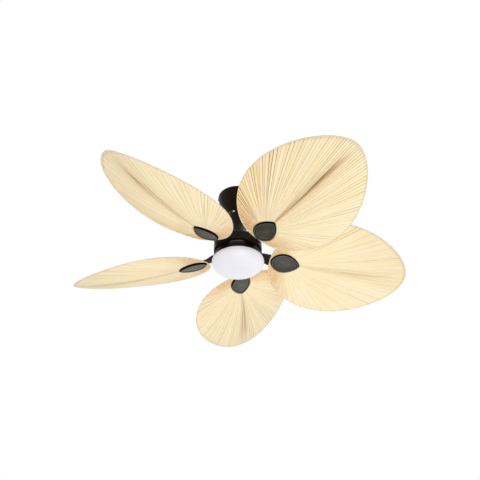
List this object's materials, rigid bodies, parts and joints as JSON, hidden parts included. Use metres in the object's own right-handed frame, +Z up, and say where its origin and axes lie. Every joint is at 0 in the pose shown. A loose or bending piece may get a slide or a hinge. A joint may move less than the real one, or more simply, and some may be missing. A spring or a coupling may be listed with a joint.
{
  "type": "ceiling fan",
  "caption": "Ceiling fan with pleated palm-leaf blades on cast irons, a bell-shaped motor housing on a short downrod and a shallow opal light.",
  "frame": {"origin": "middle of the face of the mounting bracket that lies on the ceiling", "axes": "+Z up into the ceiling; +X along the line of the two ceiling slots; the fan hangs towards -Z"},
  "size_m": [1.2646, 1.2198, 0.3378],
  "materials": {
    "zinc_steel": "zinc-plated pressed steel",
    "bronze_paint": "satin oil-rubbed bronze paint on pressed steel",
    "bronze_casting": "satin oil-rubbed bronze paint on a casting",
    "dark_screw": "blackened steel",
    "black_plastic": "moulded",
    "ball_nylon": "moulded nylon",
    "plain_steel": "turned",
    "spring_steel": "stamped",
    "nickel_screw": "nickel plated",
    "grey_casting": "cast",
    "bearing_steel": "ground",
    "lamination_steel": "stacked laminations",
    "copper_wire": "enamelled copper wire",
    "white_plastic": "moulded",
    "white_board": "white solder resist on aluminium",
    "cast_aluminium": "die-cast",
    "rotor_iron": "pressed",
    "palm_leaf": "dried pleated palm leaf",
    "opal_acrylic": "opal acrylic"
  },
  "bodies": {
    "ceiling": {"mounting_bracket": "zinc_steel", "canopy": "bronze_paint", "canopy_screws": "dark_screw", "receiver_module": "black_plastic"},
    "hanger": {"hanger_ball": "ball_nylon", "ball_pin": "plain_steel", "downrod": "bronze_paint", "coupling_cover": "bronze_paint", "cover_collar": "bronze_casting", "cover_screws": "nickel_screw", "motor_yoke": "grey_casting", "coupling_pin": "plain_steel", "pin_clip": "spring_steel", "yoke_set_screws": "plain_steel", "upper_housing": "bronze_paint", "housing_screws": "nickel_screw", "motor_shaft": "plain_steel", "upper_bearing": "bearing_steel", "lower_bearing": "bearing_steel", "stator_core": "lamination_steel", "stator_windings": "copper_wire", "shaft_spacer": "plain_steel", "light_pan": "bronze_paint", "shaft_washer": "nickel_screw", "shaft_nut": "nickel_screw", "led_driver": "white_plastic", "led_board": "white_board", "led_screws": "nickel_screw"},
    "rotor": {"rotor_shell": "cast_aluminium", "rotor_ring": "rotor_iron", "flywheel": "cast_aluminium", "rotor_screws": "nickel_screw", "iron_screws": "nickel_screw", "blade_iron_1": "bronze_casting", "blade_iron_2": "bronze_casting", "blade_iron_3": "bronze_casting", "blade_iron_4": "bronze_casting", "blade_iron_5": "bronze_casting", "blade_1": "palm_leaf", "blade_2": "palm_leaf", "blade_3": "palm_leaf", "blade_4": "palm_leaf", "blade_5": "palm_leaf", "clamp_plate_1": "bronze_casting", "clamp_plate_2": "bronze_casting", "clamp_plate_3": "bronze_casting", "clamp_plate_4": "bronze_casting", "clamp_plate_5": "bronze_casting", "blade_screws": "nickel_screw"},
    "shade": {"shade": "opal_acrylic"}
  },
  "joints": [
    {"name": "hanger_swing", "type": "hinge", "parent": "ceiling", "child": "hanger", "pos_m": [0, 0, -0.052], "axis": [0, 1, 0], "range_deg": [-3, 3]},
    {"name": "rotor_spin", "type": "hinge", "parent": "hanger", "child": "rotor", "pos_m": [0, 0, -0.262], "axis": [0, 0, 1], "continuous": true},
    {"name": "shade_twist", "type": "hinge", "parent": "hanger", "child": "shade", "pos_m": [0, 0, -0.298], "axis": [0, 0, 1], "range_deg": [0, 20]}
  ]
}
